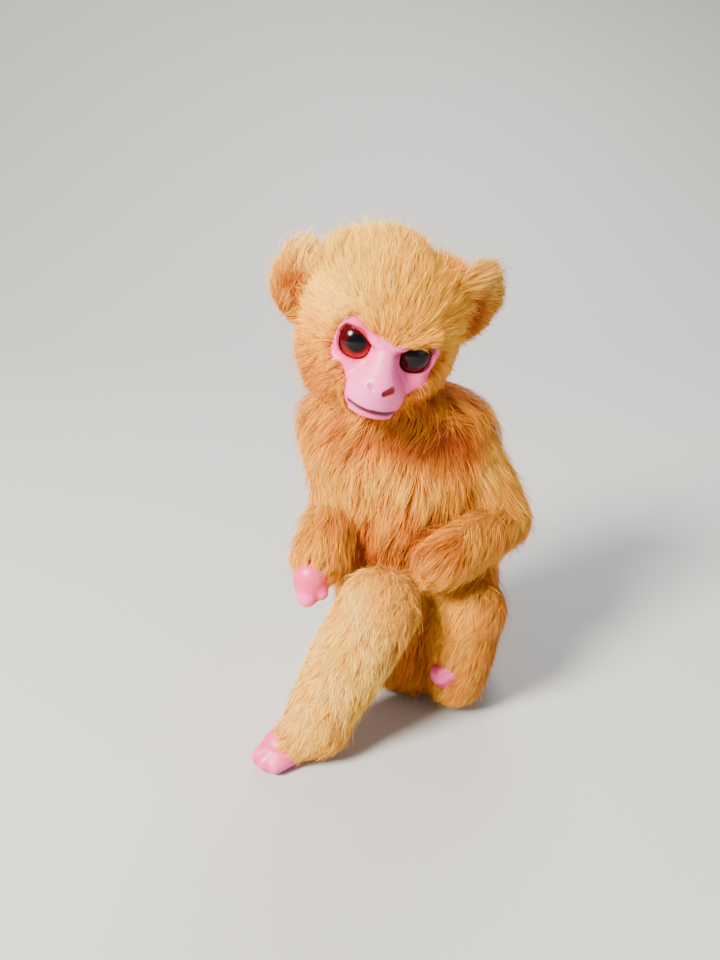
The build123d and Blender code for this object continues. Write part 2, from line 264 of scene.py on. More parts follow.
class Form:
    """Closed tube through stations, each with a centre and two half-axes.
    shape, if given, moves the finished points, such as from a piece's own frame to the world."""
    HIDE_SHADE = 0.72  # the backing is darker than the roots of the hair on it

    def __init__(self, centres, a_axes, b_axes, rows=56, cols=72, shape=None):
        centres, a_axes, b_axes = (np.array(x, float) for x in (centres, a_axes, b_axes))
        t = np.linspace(0, len(centres) - 1, rows)
        middle, a, b = (self.smooth(x, t)[:, None] for x in (centres, a_axes, b_axes))
        turn = np.linspace(0, 2 * math.pi, cols, endpoint=False)[None, :, None]
        points = middle + a * np.cos(turn) + b * np.sin(turn)
        middle = np.broadcast_to(middle, points.shape)
        if shape is not None:
            points = shape(points.reshape(-1, 3)).reshape(points.shape)
            middle = shape(middle.reshape(-1, 3)).reshape(points.shape)
        around = np.roll(points, -1, 1) - np.roll(points, 1, 1)
        self.set_grid(points, around, middle)

    def set_grid(self, points, around, middle):
        normals = unit(np.cross(around, np.gradient(points, axis=0)))
        if np.mean(dot(normals, points - middle)) < 0:
            normals = -normals
        self.points, self.normals = points, normals
        self.rows, self.cols = points.shape[:2]

    @staticmethod
    def smooth(values, t):
        """Catmull-Rom curve through the stations."""
        n = len(values)
        i = np.clip(t.astype(int), 0, n - 2)
        f = (t - i)[:, None]
        p0, p1 = values[np.maximum(i - 1, 0)], values[i]
        p2, p3 = values[i + 1], values[np.minimum(i + 2, n - 1)]
        return 0.5 * (2 * p1 + (p2 - p0) * f + (2 * p0 - 5 * p1 + 4 * p2 - p3) * f ** 2
                      + (3 * p1 - p0 - 3 * p2 + p3) * f ** 3)

    def hide(self, name, colour, body, slot, *nodes):
        """The backing that the hair grows out of."""
        verts = self.points.reshape(-1, 3)
        obj = make_mesh(name, verts, grid_faces(self.rows, self.cols), colour(verts)[0] * self.HIDE_SHADE)
        close_ends(obj)
        return finish_piece(obj, MATERIALS["hide"], body, slot, *nodes)

    def roots(self, count, density, rng):
        """Random root points and normals, evenly by area times density."""
        p = self.points
        right = np.roll(p, -1, 1)
        area = np.linalg.norm(np.cross(p[1:] - right[:-1], right[1:] - p[:-1]), axis=-1)
        mids = (p[1:] + p[:-1] + right[1:] + right[:-1]) / 4
        weight = area * density(mids.reshape(-1, 3)).reshape(area.shape)
        chosen = rng.choice(weight.size, count, p=weight.ravel() / weight.sum())
        i, j = np.unravel_index(chosen, weight.shape)
        u, v = rng.random((2, count, 1))
        k = (j + 1) % self.cols

        def at(grid):
            return ((grid[i, j] * (1 - u) + grid[i, k] * u) * (1 - v)
                    + (grid[i + 1, j] * (1 - u) + grid[i + 1, k] * u) * v)
        return at(p), unit(at(self.normals))

    def lookup(self):
        """Function that gives, for points, the form's outward normal there and how far out they are."""
        points, normals = self.points.reshape(-1, 3), self.normals.reshape(-1, 3)
        find = finder(points)

        def height_over(p):
            found = find(p)
            return normals[found], dot(p - points[found], normals[found])[:, 0]
        return height_over


class OpenForm(Form):
    """A form from a ready grid of points that doesn't wrap round."""

    def __init__(self, points, middle):
        self.set_grid(points, np.gradient(points, axis=1), middle)


def close_ends(obj):
    """Fill the open rings at both ends."""
    bm = bmesh.new()
    bm.from_mesh(obj.data)
    bmesh.ops.holes_fill(bm, edges=bm.edges)
    bmesh.ops.recalc_face_normals(bm, faces=bm.faces)
    bm.to_mesh(obj.data)
    bm.free()


def limb_form(start, end, r_start, r_end, belly):
    """Round-ended limb from start to end, with a swelling of belly millimetres half-way."""
    start, end = np.array(start, float), np.array(end, float)
    length = np.linalg.norm(end - start)
    axis = (end - start) / length
    side = unit(np.cross(axis, [0.0, -1.0, 0.2]))
    front = np.cross(side, axis)
    bend = np.linspace(0.04, math.pi / 2, 6)  # along each round end
    t = np.linspace(0, 1, 9)[1:-1]  # along the shaft
    shaft = r_start + (r_end - r_start) * t + belly * np.sin(math.pi * t)
    s = np.concatenate([-r_start * np.cos(bend), length * t, length + r_end * np.cos(bend[::-1])])
    r = np.concatenate([r_start * np.sin(bend), shaft, r_end * np.sin(bend[::-1])])
    return Form(start + axis * s[:, None], side * r[:, None], front * r[:, None], rows=44, cols=48)


# ---- hair ------------------------------------------------
ROOT_DEPTH = 0.4  # how far a strand starts under the hide
HIDE_CLEARANCE = 0.25  # and how far above it the rest stays
FLOOR_CLEARANCE = 0.12
STRAY_GROWTH = 1.12  # strays are longer, and stand up by a share in STRAY_LIFT
STRAY_LIFT = (0.15, 0.5)


def grow(name, form, count, flow, length, colour, body, slot, *nodes, seed=1, keep=None, density=None,
         lift=(0.5, 0.05), width=0.13, clump=0.34, lock_mm=1.5, jitter=0.24, segments=4, wisp=0.05):
    """Combed hair on a form. flow(points, normals) is the way it lies, length(points) is in millimetres,
    colour(points) gives (root tint, tip tint), and lift is the rise off the surface at root and tip.
    keep(points) drops roots, density(points) weighs where they fall, and wisp is the share of strays."""
    rng = np.random.default_rng(seed)
    roots, normals = form.roots(count, density or (lambda p: np.ones(len(p))), rng)
    if keep is not None:
        wanted = keep(roots)
        roots, normals = roots[wanted], normals[wanted]
    count = len(roots)
    height_over = form.lookup()
    # locks: every strand leans towards the nearest of some leading strands
    leaders = rng.choice(count, max(8, int(count / (9 * lock_mm ** 2))), replace=False)
    lock = finder(roots[leaders])(roots)
    lock_lean = rng.normal(size=(len(leaders), 3))[lock]
    own_lean = rng.normal(size=(count, 3))
    size = length(roots) * rng.uniform(0.82, 1.12, len(leaders))[lock] * rng.uniform(0.72, 1.08, count)
    stray = rng.random(count) < wisp
    size = np.where(stray, size * STRAY_GROWTH, size)
    stray_lift = np.where(stray, rng.uniform(*STRAY_LIFT, count), 0.0) + rng.normal(0, 0.05, count)

    p, n = roots, normals
    path = [roots - normals * ROOT_DEPTH]
    step = (size / segments)[:, None]
    for k in range(segments):
        t = k / (segments - 1)
        way = flow(p, n) + jitter * (lock_lean * 0.8 + own_lean * 0.5)
        rise = (lift[0] * (1 - t) + lift[1] * t + stray_lift * (1 - 0.3 * t))[:, None]
        p = p + unit(unit(way - n * dot(way, n)) + n * rise) * step
        n, away = height_over(p)
        p = p + n * np.maximum(HIDE_CLEARANCE - away, 0)[:, None]
        path.append(p)
    path = np.stack(path, 1)  # strand, ring, xyz
    lead = path[leaders][lock]
    share = np.linspace(0, 1, segments + 1)[None, :, None] ** 1.4 * clump
    share = share * np.where(stray, 0.2, 1.0)[:, None, None]
    offset = (roots - roots[leaders][lock])[:, None, :] * 0.35
    path = path * (1 - share) + (lead + offset) * share
    path[..., 2] = np.maximum(path[..., 2], FLOOR_CLEARANCE)
    root_tint, tip_tint = colour(roots)
    shade = rng.normal(1.0, 0.10, count) * (1 + 0.10 * rng.normal(size=len(leaders))[lock])
    warmth = 1 + rng.normal(0, 0.03, (count, 1)) * np.array([1.0, 0.2, -1.0])
    shade = np.clip(shade, 0.6, 1.4)[:, None] * warmth
    obj = ribbons(name, path, normals, root_tint * shade, tip_tint * shade,
                  width * rng.uniform(0.7, 1.25, count), rng)
    return finish_piece(obj, MATERIALS["fur"], body, slot, *nodes)


def ribbons(name, path, normals, root_tint, tip_tint, width, rng):
    """One tapering ribbon for each row of path, as a single mesh."""
    count, rings, _ = path.shape
    along = unit(np.gradient(path, axis=1))
    facing = unit(normals + 0.45 * rng.normal(size=normals.shape))[:, None, :]
    side = unit(np.cross(along, np.broadcast_to(facing, along.shape)))
    t = np.linspace(0, 1, rings)
    reach = side * ((1 - t ** 1.8)[None, :, None] * width[:, None, None] / 2)
    per = 2 * rings - 1
    verts = np.empty((count, per, 3))
    verts[:, 0:-1:2] = (path - reach)[:, :-1]
    verts[:, 1:-1:2] = (path + reach)[:, :-1]
    verts[:, -1] = path[:, -1]
    base = (np.arange(count) * per)[:, None]
    quads = [base + np.array([[2 * k, 2 * k + 1, 2 * k + 3, 2 * k + 2]]) for k in range(rings - 2)]
    quads = np.stack(quads, 1).reshape(-1, 4)
    tips = base + np.array([[per - 3, per - 2, per - 1]])
    loops = np.concatenate([quads.ravel(), tips.ravel()])
    starts = np.concatenate([np.arange(len(quads)) * 4, len(quads) * 4 + np.arange(count) * 3])
    mesh = bpy.data.meshes.new(name)
    mesh.vertices.add(count * per)
    mesh.vertices.foreach_set("co", (verts.reshape(-1) * MM).astype(np.float32))
    mesh.loops.add(len(loops))
    mesh.loops.foreach_set("vertex_index", loops.astype(np.int32))
    mesh.polygons.add(len(starts))
    mesh.polygons.foreach_set("loop_start", starts.astype(np.int32))
    mesh.update(calc_edges=True)
    share = np.append(np.repeat(t[:-1], 2), 1.0)
    to_tip = share[None, :, None]
    tint = root_tint[:, None, :] * (1 - to_tip) + tip_tint[:, None, :] * to_tip
    add_tint(mesh, tint.reshape(-1, 3))
    # one small cell of the texture map for each strand
    cells = int(math.ceil(math.sqrt(count)))
    cell = np.stack([np.arange(count) % cells, np.arange(count) // cells], 1) / cells
    spot = np.empty((per, 2))
    spot[0:-1:2, 0], spot[1:-1:2, 0], spot[-1, 0] = 0.25, 0.75, 0.5
    spot[:, 1] = 0.1 + 0.8 * share
    uv = cell[:, None, :] + spot[None] / cells
    layer = mesh.uv_layers.new(name="OFBake")
    layer.data.foreach_set("uv", uv.reshape(-1, 2)[loops].ravel().astype(np.float32))
    mesh.shade_smooth()
    return new_object(name, mesh)


# ---- solid shapes cut out of smooth fields ---------------
def egg_field(p, centre, radii):
    """About the distance outside an ellipsoid; negative inside."""
    radii = np.array(radii)
    k = np.linalg.norm((p - np.array(centre)) / radii, axis=-1)
    return (k - 1) * radii.min()


def rod_field(p, start, end, r_start, r_end):
    """Distance outside a round-ended rod that tapers from r_start to r_end."""
    start, end = np.array(start, float), np.array(end, float)
    d = end - start
    t = np.clip(((p - start) @ d) / (d @ d), 0, 1)
    return np.linalg.norm(p - start - t[..., None] * d, axis=-1) - (r_start + (r_end - r_start) * t)


def ring_field(p, centre, axis, radius, thick):
    """Distance outside a ring of that radius round an axis."""
    q = p - centre
    h = q @ axis
    flat = np.linalg.norm(q - h[..., None] * axis, axis=-1) - radius
    return np.hypot(flat, h) - thick


def joined(a, b, k):
    """Union of two fields with a fillet of about k."""
    h = np.maximum(k - np.abs(a - b), 0) / k
    return np.minimum(a, b) - h * h * k / 4


def carved(a, b, k):
    """Field a with field b taken out, its edge softened by about k."""
    return -joined(-a, b, k)


def surface_along(field, origin, directions, near, far, steps=70):
    """Where rays from origin leave the solid, as points; the outermost crossing is taken."""
    r = np.linspace(near, far, steps)
    values = np.stack([field(origin + directions * x) for x in r], -1)
    inside = values < 0
    last = steps - 1 - np.argmax(inside[..., ::-1], axis=-1)
    last = np.clip(last, 0, steps - 2)
    low, high = r[last], r[last + 1]
    for _ in range(12):
        middle = (low + high) / 2
        out = field(origin + directions * middle[..., None]) > 0
        high = np.where(out, middle, high)
        low = np.where(out, low, middle)
    return origin + directions * ((low + high) / 2)[..., None]


VOXEL = 0.26 * MM
SMOOTHING_ROUNDS = 22


def fused(name, chains):
    """One smooth solid from chains of balls, in metres: each chain is (start, end, r_start, r_end)."""
    bm = bmesh.new()
    for start, end, r_start, r_end in chains:
        start, end = Vector(start), Vector(end)
        count = max(2, int((end - start).length / (min(r_start, r_end) * 0.35)) + 1)
        for n in range(count):
            t = n / (count - 1)
            bmesh.ops.create_icosphere(bm, subdivisions=3, radius=r_start + (r_end - r_start) * t,
                                       matrix=Matrix.Translation(start.lerp(end, t)))
    mesh = bpy.data.meshes.new(name)
    bm.to_mesh(mesh)
    bm.free()
    obj = new_object(name, mesh)
    remesh = obj.modifiers.new("join", "REMESH")
    remesh.mode = "VOXEL"
    remesh.voxel_size = VOXEL
    soften = obj.modifiers.new("soften", "SMOOTH")
    soften.iterations = SMOOTHING_ROUNDS
    soften.factor = 0.5
    done = bpy.data.meshes.new_from_object(obj.evaluated_get(bpy.context.evaluated_depsgraph_get()))
    bpy.data.objects.remove(obj)
    return done


MATERIALS = {
    "fur": fur_material("combed_fur"),
    "hide": fur_material("fur_backing"),
    "pink": skin_material("pink_paint"),
    "eye": eye_material("toy_eye"),
}
for name, *look in (
        ("moulded_core", srgb(214, 206, 190), srgb(198, 188, 170), 700, 0.55),
        ("steel_pin", srgb(150, 150, 152), srgb(188, 188, 190), 2500, 0.32, 1.0),
        ("seat_card", srgb(150, 112, 78), srgb(112, 80, 52), 500, 0.8, 0.0, 0.0003),
        ("eye_amber", srgb(150, 26, 20), srgb(96, 10, 10), 900, 0.2),
        ("eye_black", srgb(14, 12, 12), srgb(26, 22, 22), 900, 0.25)):
    MATERIALS[name] = speckled_material(name, *look)

# ---- colours of the coat ---------------------------------
BUTTER = srgb(255, 222, 122)
WHEAT = srgb(255, 208, 70)
CREAM = srgb(255, 194, 42)
PALE = srgb(255, 172, 24)
GOLD = srgb(236, 138, 14)
ORANGE = srgb(200, 88, 8)
RUST = srgb(146, 48, 8)
PINK = srgb(255, 84, 150)
PINK_PALE = srgb(255, 126, 186)
PINK_DEEP = srgb(220, 34, 92)
MAUVE = srgb(206, 96, 160)
CRIMSON = srgb(150, 10, 32)
MAROON = srgb(70, 8, 26)

# ---- head frame: x to its left, y back, z up -------------
HEAD_CENTRE = np.array([-7.0, -4.0, 100.0])
HEAD_TURN, HEAD_NOD, HEAD_ROLL = (math.radians(a) for a in (4.0, 1.0, 15.6))
HEAD = np.array(Matrix.Rotation(HEAD_TURN, 3, "Z") @ Matrix.Rotation(HEAD_NOD, 3, "X")
                @ Matrix.Rotation(HEAD_ROLL, 3, "Y"))


def to_head(p):
    return (np.asarray(p) - HEAD_CENTRE) @ HEAD


def from_head(p):
    return np.asarray(p) @ HEAD.T + HEAD_CENTRE


# outline of the bare pink face seen from the front, in the head's frame: (x, z)
FACE_EDGE = np.array([
    (0.8, -0.7), (3.8, -0.3), (7.0, 0.3), (10.4, 1.0), (12.9, 0.4), (13.3, -1.4), (12.2, -4.2), (10.2, -7.0),
    (8.2, -9.0), (7.3, -11), (6.9, -13.4), (6.4, -15.0),
    (5.2, -16.4), (3.4, -17.4), (1.2, -17.9), (-1.2, -17.7), (-3.6, -16.7), (-5.7, -14.9),
    (-6.5, -12.2), (-6.4, -9.8), (-7.9, -7.1), (-10.4, -6.2), (-11.2, -4.2), (-11.0, -1.6), (-10.2, 1.8),
    (-8.4, 3.0), (-6.2, 2.6), (-3.6, 1.1)])


def inside_face(q):
    """How far inside the face outline points are, in millimetres; negative outside."""
    x, z = q[:, 0], q[:, 2]
    nearest = np.full(len(q), 1e9)
    inside = np.zeros(len(q), bool)
    for (x1, z1), (x2, z2) in zip(FACE_EDGE, np.roll(FACE_EDGE, -1, 0)):
        dx, dz = x2 - x1, z2 - z1
        along = np.clip(((x - x1) * dx + (z - z1) * dz) / (dx ** 2 + dz ** 2), 0, 1)
        nearest = np.minimum(nearest, np.hypot(x - x1 - along * dx, z - z1 - along * dz))
        if dz:
            inside ^= ((z1 > z) != (z2 > z)) & (x < x1 + (z - z1) * dx / dz)
    distance = np.where(inside, nearest, -nearest)
    return np.where(q[:, 1] < -3, distance, -np.maximum(nearest, 6))


# ---- the forms under the coat ----------------------------
def level_form(stations, shape=None, **size):
    """Form from level sections: (x, y, z, half width, half depth)."""
    s = np.array(stations, float)
    zero = np.zeros(len(s))
    wide, deep = np.stack([s[:, 3], zero, zero], 1), np.stack([zero, s[:, 4], zero], 1)
    return Form(s[:, :3], wide, deep, shape=shape, **size)


torso = level_form([
    (3.0, 10.5, 1.7, 13.0, 14.5), (3.0, 10.2, 3.0, 16.0, 17.0), (3.2, 9.8, 10, 18.6, 17.8),
    (3.4, 8.2, 25, 20.4, 18.0), (2.2, 5.5, 40, 20.2, 17.0), (0.6, 3.5, 50, 19.2, 15.8),
    (-0.8, 2.0, 60, 20.2, 14.8), (-1.8, 1.0, 67, 22.2, 13.8), (-2.6, 0.5, 73, 22.8, 13.2),
    (-3.4, 0.0, 78, 21.2, 12.4), (-4.0, -0.6, 82, 17.0, 11.0), (-4.4, -1.0, 85, 11, 9),
    (-4.6, -1.2, 86.4, 6, 5.5)], rows=96, cols=96)
neck = level_form([(-3.6, -0.2, 72, 7.5, 7.5), (-3.9, -0.6, 76, 9.2, 9.2), (-4.4, -1.2, 83, 9.4, 9.8),
                   (-4.8, -1.8, 88, 8.2, 8.2)], rows=24, cols=56)


CROWN_DENT = (7.5, -1.0, 19.0)  # the crown is a little lower here, to its left


def head_shape(q):
    """Head in its own frame: the coat's backing drops away behind the face."""
    behind_face = ease(-1.0, 3.0, inside_face(q)) * (q[:, 1] < 0)
    q = q * (1 - 0.24 * behind_face - 0.10 * blob(q, CROWN_DENT, (6.0, 16.0, 7.0)))[:, None]
    return from_head(q)


def egg_form(half_width, half_depth, half_height, pole_gap, sections, shape, **size):
    """Egg-shaped form in a piece's own frame, placed by shape."""
    slope = np.linspace(-math.pi / 2 + pole_gap, math.pi / 2 - pole_gap, sections)
    return level_form([(0, 0, half_height * math.sin(a), half_width * math.cos(a), half_depth * math.cos(a))
                       for a in slope], shape=shape, **size)


head = egg_form(17.2, 17.0, 20.0, 0.01, 25, head_shape, rows=110, cols=120)

RIGHT_KNEE = at_joint("right_knee", -0.8, 0.6, -0.4)
LEFT_KNEE = at_joint("left_knee", -2.0, 0.3, 0.3)
LEFT_ELBOW = at_joint("left_elbow", -1.0, 0.0, 1.0)
# under the coat of each limb: start, end, radius at start and at end, swelling half-way
LIMB_LINES = {
    "right_upper_arm": (at_joint("right_shoulder", z=1), at_joint("right_elbow", 1.2, 0, 0.5), 5.6, 4.6, 0.0),
    "right_forearm": (at_joint("right_elbow", 1.0, 0.0, 0.5), (-21.7, -12.8, 45.4), 4.6, 5.6, 0.5),
    "left_upper_arm": (at_joint("left_shoulder", z=1), LEFT_ELBOW, 6.0, 5.6, 0.5),
    "left_forearm": (LEFT_ELBOW, (7.2, -19.4, 47.0), 5.6, 3.9, 0.6),
    "right_thigh": (at_joint("right_hip"), RIGHT_KNEE, 7.2, 8.8, 0.4),
    "right_shin": (RIGHT_KNEE, (-22.4, -29.4, 9.8), 8.8, 7.0, 0.8),
    "right_instep": ((-21.6, -29.4, 8.8), (-27.8, -31.8, 5.8), 7.0, 4.7, 0.2),
    "left_thigh": (at_joint("left_hip", x=-0.4), LEFT_KNEE, 7.0, 7.4, 0.4),
    "left_shin": (LEFT_KNEE, (13.0, -10.6, 9.8), 7.4, 6.4, 0.3),
}
limbs = {name: limb_form(*line) for name, line in LIMB_LINES.items()}


# ---- how the coat lies and its colours -------------------
NOSE_ROOT = np.array([0.0, -17.5, -2.5])


def head_flow(p, n):
    """Away from between the eyes, over the crown and out across the cheeks, then down behind."""
    q = to_head(p)
    out = unit(q - NOSE_ROOT)
    behind = ease(-4, 12, q[:, 1])[:, None]
    cheek = (ease(2, -10, q[:, 2]) * ease(4, 12, np.abs(q[:, 0])))[:, None]
    way = out * (1 - behind * 0.7) + np.array([0, 0.35, -1.0]) * behind + np.array([0, 0.3, -0.7]) * cheek
    way = way + 0.18 * drift(q, (9, 9, 9), 11)
    return way @ HEAD.T


def head_length(p):
    """Short round the face, longer on the crown, the jaws and beside the ears."""
    q = to_head(p)
    edge = ease(0.0, 6.0, -inside_face(q))
    by_ear = blob(q, (-14, 2, 11), (5, 8, 5)) + blob(q, (14, 0, 14), (5, 8, 5))
    crown = ease(6, 16, q[:, 2]) - 1.8 * blob(q, CROWN_DENT, (6.0, 16.0, 6.0))
    jaw = ease(0, -10, q[:, 2]) * ease(-14, -8, q[:, 1])
    return 3.0 + 4.6 * edge + 1.4 * crown + 4.0 * by_ear + 4.0 * jaw


def head_colour(p):
    """Palest on the lit side of the crown, browner on the cheeks and behind."""
    q = to_head(p)
    low = ease(2, -12, q[:, 2]) * ease(3, 9, np.abs(q[:, 0]))
    behind = ease(2, 14, q[:, 1])
    streak = streaks(q, 2.5, 21, 0.4)
    lit = ease(4, -10, q[:, 0]) * ease(-4, 4, q[:, 2])
    root = mix(mix(mix(GOLD, PALE, 0.35 + 0.4 * lit), ORANGE, low), ORANGE, behind * 0.6)
    tip = mix(mix(mix(CREAM, WHEAT, lit), GOLD, low * 0.9), GOLD, behind * 0.5)
    tip = mix(tip, PALE, 0.5 * streak * (1 - 0.6 * lit))
    rim = ease(2.2, 0.0, -inside_face(q))
    return mix(root, RUST, rim * 0.3), tip


CHEST_PARTING = np.array([8.5, -10.5, 75.0])
# patches of the body's coat: (centre, size, strength)
# the first patch is the rust of the chest parting; the rest are painted shade: under the chin, in the creases
# by both arms, and in the folds above the left forearm and the lap
RUST_PATCH_AND_PAINTED_SHADE = (
    (CHEST_PARTING, (9.5, 9, 4.5), 1.0), ((-13, -12, 53), (6, 8, 7), 0.6),
    ((5, -13, 55), (6.5, 7, 4.5), 1.0), ((-4, -14, 46), (13, 9, 4.5), 0.85),
    ((-5, -13, 78), (10, 7, 3.6), 0.85), ((20, 2, 52), (4, 9, 5), 0.4))
PALE_TUFTS = (
    ((-5, -14, 69.5), (11, 8, 4.5), 1.0), ((18, -5, 71), (6, 9, 9), 1.0), ((-22, -4, 70), (6, 8, 8), 0.7),
    ((4, -13, 64), (5, 8, 6), 0.6))
BODY_MIDDLE = -3.0  # x of the body's middle plane


def body_flow(p, n):
    """Down the body, parting round a dark patch high on the chest and over the shoulders."""
    d = p - CHEST_PARTING
    near = np.exp(-np.sum((d / [9, 12, 8]) ** 2, axis=1))[:, None]
    out = unit(d * [1, 1, 1.4])
    aside = p[:, 0] - BODY_MIDDLE
    over_shoulder = 0.35 * np.sign(aside) * ease(4, 18, np.abs(aside)) * ease(55, 75, p[:, 2])
    way = np.array([-0.14, 0, -1.0]) + over_shoulder[:, None] * [1, 0, 0] + 0.34 * drift(p, (12, 12, 14), 31)
    return way * (1 - 0.45 * near) + out * near * 0.45


def body_length(p):
    parting, near_floor = blob(p, CHEST_PARTING, (8, 12, 6)), ease(16, 4, p[:, 2])
    return 9.0 + 2.0 * waves(p, 10, 34) - 2.0 * parting - 3.0 * near_floor


def patch_share(p, patches):
    """How much each point lies in any of the patches, from 0 to 1."""
    return np.clip(sum(share * blob(p, centre, size) for centre, size, share in patches), 0, 1)


def body_colour(p):
    dark, pale = patch_share(p, RUST_PATCH_AND_PAINTED_SHADE), patch_share(p, PALE_TUFTS)
    low = ease(52, 36, p[:, 2])
    streak, patch = streaks(p, 2.2, 35, 0.3), streaks(p, 9, 36)
    root = mix(mix(ORANGE, GOLD, 0.5 * pale), RUST, np.clip(0.85 * dark + 0.25 * low, 0, 1))
    tip = mix(mix(mix(GOLD, CREAM, streak), PALE, 0.5 * patch), WHEAT, 0.85 * pale)
    tip = mix(mix(tip, ORANGE, 0.9 * dark), RUST, 0.3 * dark ** 2)
    return root, mix(tip, GOLD, 0.2 * low)


# The neck's coat is the body's, darkened to rust and orange as painted shade under the head.
def neck_colour_in_painted_shade(p):
    root, tip = body_colour(p)
    return mix(root, RUST, 0.6), mix(tip, ORANGE, 0.6)


# the coat of other limbs lies from start to end, and a little down
LIMB_COMBED = {
    "left_forearm": (-0.75, -0.4, -0.75), "left_thigh": (-0.5, -0.5, -0.45),
    "left_shin": (-0.35, -0.2, -0.9), "right_thigh": (-0.2, -0.8, -0.1),
}
# painted shade in the creases where the arms meet the body and where the left hand lies on the belly:
# (centre, size, strength)
ARM_CREASE_SHADE = (((-15, -9, 55), (5, 6, 4), 1), ((22, -3, 52), (6, 7, 4), 1), ((8, -18, 51), (8, 7, 5), 1))


def limb_flow(name):
    start, end = (np.array(p, float) for p in LIMB_LINES[name][:2])
    way = unit(np.array(LIMB_COMBED.get(name, unit(end - start) + [0, 0, -0.3])))
    seed = len(name) * 7

    def flow(p, n):
        return way + 0.22 * drift(p, (9, 9, 9), seed)
    return flow


def arm_colour(p):
    streak = streaks(p, 2.4, 41, 0.4)
    low = ease(60, 48, p[:, 2])
    crease_shade = patch_share(p, ARM_CREASE_SHADE)
    # the painted shade in the creases darkens both roots and tips
    root = mix(ORANGE, RUST, np.clip(0.2 * low + 0.6 * crease_shade, 0, 1))
    return root, mix(mix(PALE, WHEAT, streak * (1 - 0.5 * low)), ORANGE, 0.6 * crease_shade)


def leg_colour(p):
    """Palest on top of the knee and along the shin's upper side, tan below."""
    aside = (p - RIGHT_KNEE) @ unit(np.array([0.85, -0.2, 0.5]))
    under = ease(-1, 7, aside) * 0.8
    streak = streaks(p, 2.6, 42)
    low = ease(20, 4, p[:, 2])
    root = mix(mix(PALE, GOLD, 0.6), ORANGE, np.clip(0.55 * under + 0.2 * low, 0, 1))
    return root, mix(mix(WHEAT, BUTTER, streak), PALE, np.clip(0.7 * under + 0.5 * low, 0, 1))


def tucked_leg_colour(p):
    streak = streaks(p, 2.2, 43, 0.6)
    outer = ease(14, 22, p[:, 0])
    inner = ease(10, 4, p[:, 0])
    root = mix(ORANGE, RUST, np.clip(0.4 * outer + 0.7 * inner, 0, 1))
    return root, mix(mix(PALE, WHEAT, streak), ORANGE, np.clip(0.45 * outer + 0.6 * inner, 0, 1))


# ---- coat pieces -----------------------------------------
torso.hide("body_hide", body_colour, "torso", "body_fur")
neck.hide("neck_hide", neck_colour_in_painted_shade, "neck", "body_fur")
head.hide("head_hide", head_colour, "head", "head_fur")

BODY_SEAM = 8.0  # y where the front coat of the body meets the back coat
STRAY_ROOTS = 0.02  # density on the side that a coat doesn't keep


def grow_body_coat(word, count, seed):
    """The front or the back coat of the body, up to the seam."""
    def kept(p):
        return (p[:, 1] < BODY_SEAM) == (word == "front")

    grow(f"body_coat_{word}", torso, count, body_flow, body_length, body_colour, "torso", "body_fur",
         f"body_pelt_{word}", seed=seed, lift=(0.5, 0.02), keep=kept,
         density=lambda p: np.where(kept(p), 1.0, STRAY_ROOTS))


grow_body_coat("front", 27000, 1)
grow_body_coat("back", 24000, 2)
grow("neck_coat", neck, 6000, body_flow, lambda p: np.full(len(p), 7.0), neck_colour_in_painted_shade, "neck", "body_fur",
     "neck_pelt", seed=3)


def head_density(side):
    """Hair on one side of the head, -1 in front and 1 behind, and thicker round the face."""
    def density(p):
        q = to_head(p)
        wanted = (q[:, 1] * side > 0) & (inside_face(q) < 0.3)
        return np.where(wanted, 1.0 + 0.6 * ease(5, 0, -inside_face(q)), 0.0)
    return density


for side, word, count in ((-1, "front", 27000), (1, "back", 24000)):
    grow(f"head_coat_{word}", head, count, head_flow, head_length, head_colour, "head", "head_fur",
         f"head_pelt_{word}", seed=4 + side, density=head_density(side), lift=(0.55, 0.08), width=0.12,
         clump=0.3, lock_mm=1.2, jitter=0.18)

# tufts that join the ears to the crown, in the head's frame: (middle, way they lie, length)
EAR_GAPS = {
    "right": ((-14.6, 0, 11.0), (-0.6, 0, 1.0), 7.0),
    "left": ((13.0, -1, 15.5), (0.7, 0, 0.9), 8.0),
}


def make_ear_tuft(side_word):
    middle, way, reach = EAR_GAPS[side_word]
    grow(f"{side_word}_ear_tuft", head, 4000, lambda p, n: head_flow(p, n) * 0.4 + np.array(way) @ HEAD.T,
         lambda p: np.full(len(p), reach), head_colour, "head", "head_fur", seed=12 + len(side_word),
         density=lambda p: blob(to_head(p), middle, (4.5, 6.5, 3.5)) ** 2, lift=(1.1, 0.45), width=0.12,
         clump=0.3, jitter=0.3, wisp=0.12)


for side_word in EAR_GAPS:
    make_ear_tuft(side_word)

LEFT_FOOT_TIP = (9.6, -18.0, 14.8)


def off_the_foot(p):
    """No hair on the bare patch of the tucked foot."""
    return blob(p, LEFT_FOOT_TIP, (3.8, 4.6, 2.4)) < 0.5


def coat_length(reach):
    """The same length all over, but shorter above the tucked foot so that it shows."""
    def length(p):
        return reach * (1 - 0.6 * blob(p, (10.5, -17, 18.5), (5.0, 5.0, 4.0)))
    return length


# number of strands, their length and their colours
LIMB_COATS = {
    "right_upper_arm": (12000, 8.5, arm_colour), "right_forearm": (12000, 7.0, arm_colour),
    "left_upper_arm": (16000, 10.0, arm_colour), "left_forearm": (16000, 9.5, arm_colour),
    "right_thigh": (18000, 4.8, leg_colour), "right_shin": (26000, 4.6, leg_colour),
    "right_instep": (9000, 4.2, leg_colour),
    "left_thigh": (18000, 7.5, tucked_leg_colour), "left_shin": (18000, 6.5, tucked_leg_colour),
}
for number, (name, (count, reach, colour)) in enumerate(LIMB_COATS.items()):
    slot = "arm_fur" if "arm" in name else "leg_fur"
    body = "right_shin" if name == "right_instep" else name
    replaced = [f"{name}_pelt"] if body == name else []
    width = 0.12 if slot == "leg_fur" else 0.13
    limbs[name].hide(f"{name}_hide", colour, body, slot)
    grow(f"{name}_coat", limbs[name], count, limb_flow(name), coat_length(reach), colour, body, slot,
         *replaced, seed=20 + number, keep=off_the_foot, lift=(0.45, 0.02), width=width)


